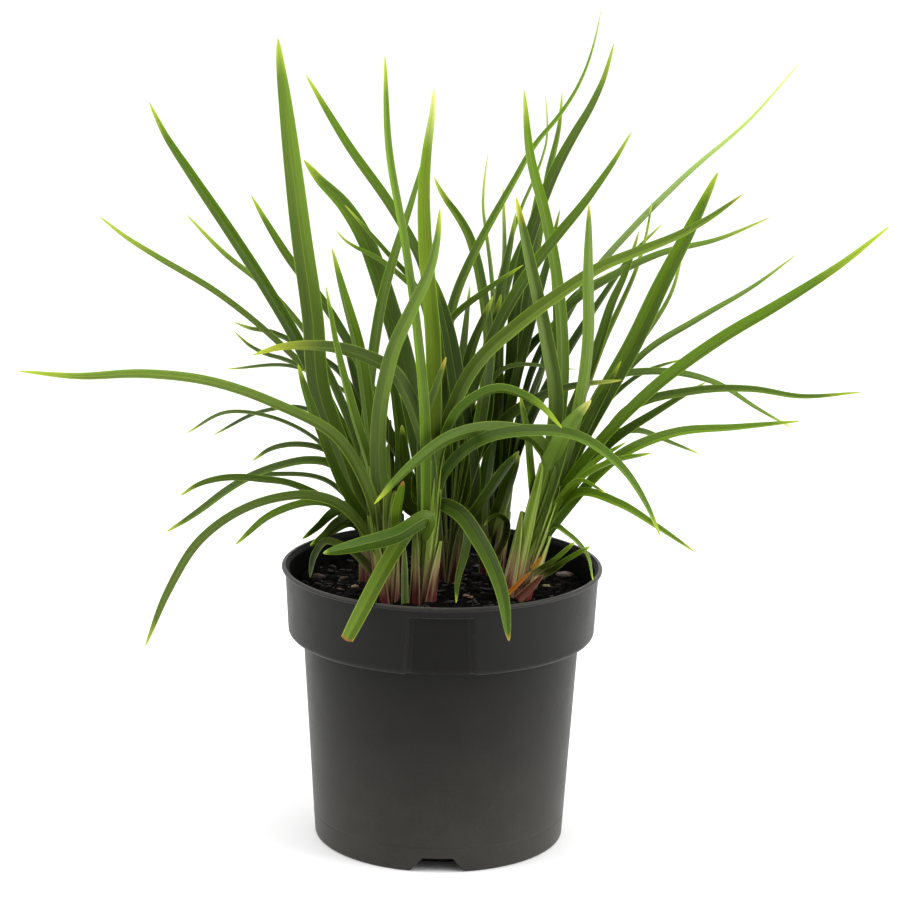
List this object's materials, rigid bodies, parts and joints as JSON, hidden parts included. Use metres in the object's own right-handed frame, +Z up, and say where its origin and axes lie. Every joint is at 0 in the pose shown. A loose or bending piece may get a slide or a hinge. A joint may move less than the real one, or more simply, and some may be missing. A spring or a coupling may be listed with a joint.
{
  "type": "potted flax lily",
  "caption": "Clump of arching green strap leaves growing from leafy shoots in a round charcoal plastic nursery pot filled with dark growing mix.",
  "frame": {"origin": "on the pot's axis, at the plane that the pot stands on", "axes": "+Z up along the pot's axis, -Y towards the front, which has a label recess, +X to the right seen from the front"},
  "size_m": [0.3926, 0.2335, 0.386],
  "materials": {
    "pot": "moulded, soft sheen",
    "soil": "loose peat and bark",
    "sheath": "satin, pale green striped, red at the soil",
    "leaf": "satin, fine lengthwise veins"
  },
  "bodies": {
    "root": {"leaf_back_left_1": "leaf", "leaf_back_left_2": "leaf", "leaf_back_left_3": "leaf", "leaf_back_left_4": "leaf", "leaf_back_left_5": "leaf", "leaf_back_middle_1": "leaf", "leaf_back_middle_2": "leaf", "leaf_back_middle_3": "leaf", "leaf_back_right_1": "leaf", "leaf_back_right_2": "leaf", "leaf_back_right_3": "leaf", "leaf_back_right_4": "leaf", "leaf_front_centre_1": "leaf", "leaf_front_centre_2": "leaf", "leaf_front_centre_3": "leaf", "leaf_front_centre_4": "leaf", "leaf_front_centre_5": "leaf", "leaf_front_centre_6": "leaf", "leaf_front_centre_7": "leaf", "leaf_front_centre_8": "leaf", "leaf_front_centre_9": "leaf", "leaf_front_left_1": "leaf", "leaf_front_left_2": "leaf", "leaf_front_left_3": "leaf", "leaf_front_left_4": "leaf", "leaf_front_left_5": "leaf", "leaf_front_left_6": "leaf", "leaf_front_right_1": "leaf", "leaf_front_right_2": "leaf", "leaf_front_right_3": "leaf", "leaf_front_right_4": "leaf", "leaf_front_right_5": "leaf", "leaf_front_right_6": "leaf", "leaf_front_right_7": "leaf", "leaf_middle_1": "leaf", "leaf_middle_2": "leaf", "leaf_middle_3": "leaf", "leaf_middle_4": "leaf", "leaf_side_left_1": "leaf", "leaf_side_left_2": "leaf", "leaf_side_left_3": "leaf", "leaf_side_left_4": "leaf", "leaf_side_left_5": "leaf", "leaf_side_right_1": "leaf", "leaf_side_right_2": "leaf", "leaf_side_right_3": "leaf", "leaf_side_right_4": "leaf", "leaf_side_right_5": "leaf", "leaf_side_right_6": "leaf", "pot": "pot", "shoot_back_left": "sheath", "shoot_back_middle": "sheath", "shoot_back_right": "sheath", "shoot_front_centre": "sheath", "shoot_front_left": "sheath", "shoot_front_right": "sheath", "shoot_middle": "sheath", "shoot_side_left": "sheath", "shoot_side_right": "sheath", "soil": "soil"}
  },
  "joints": []
}
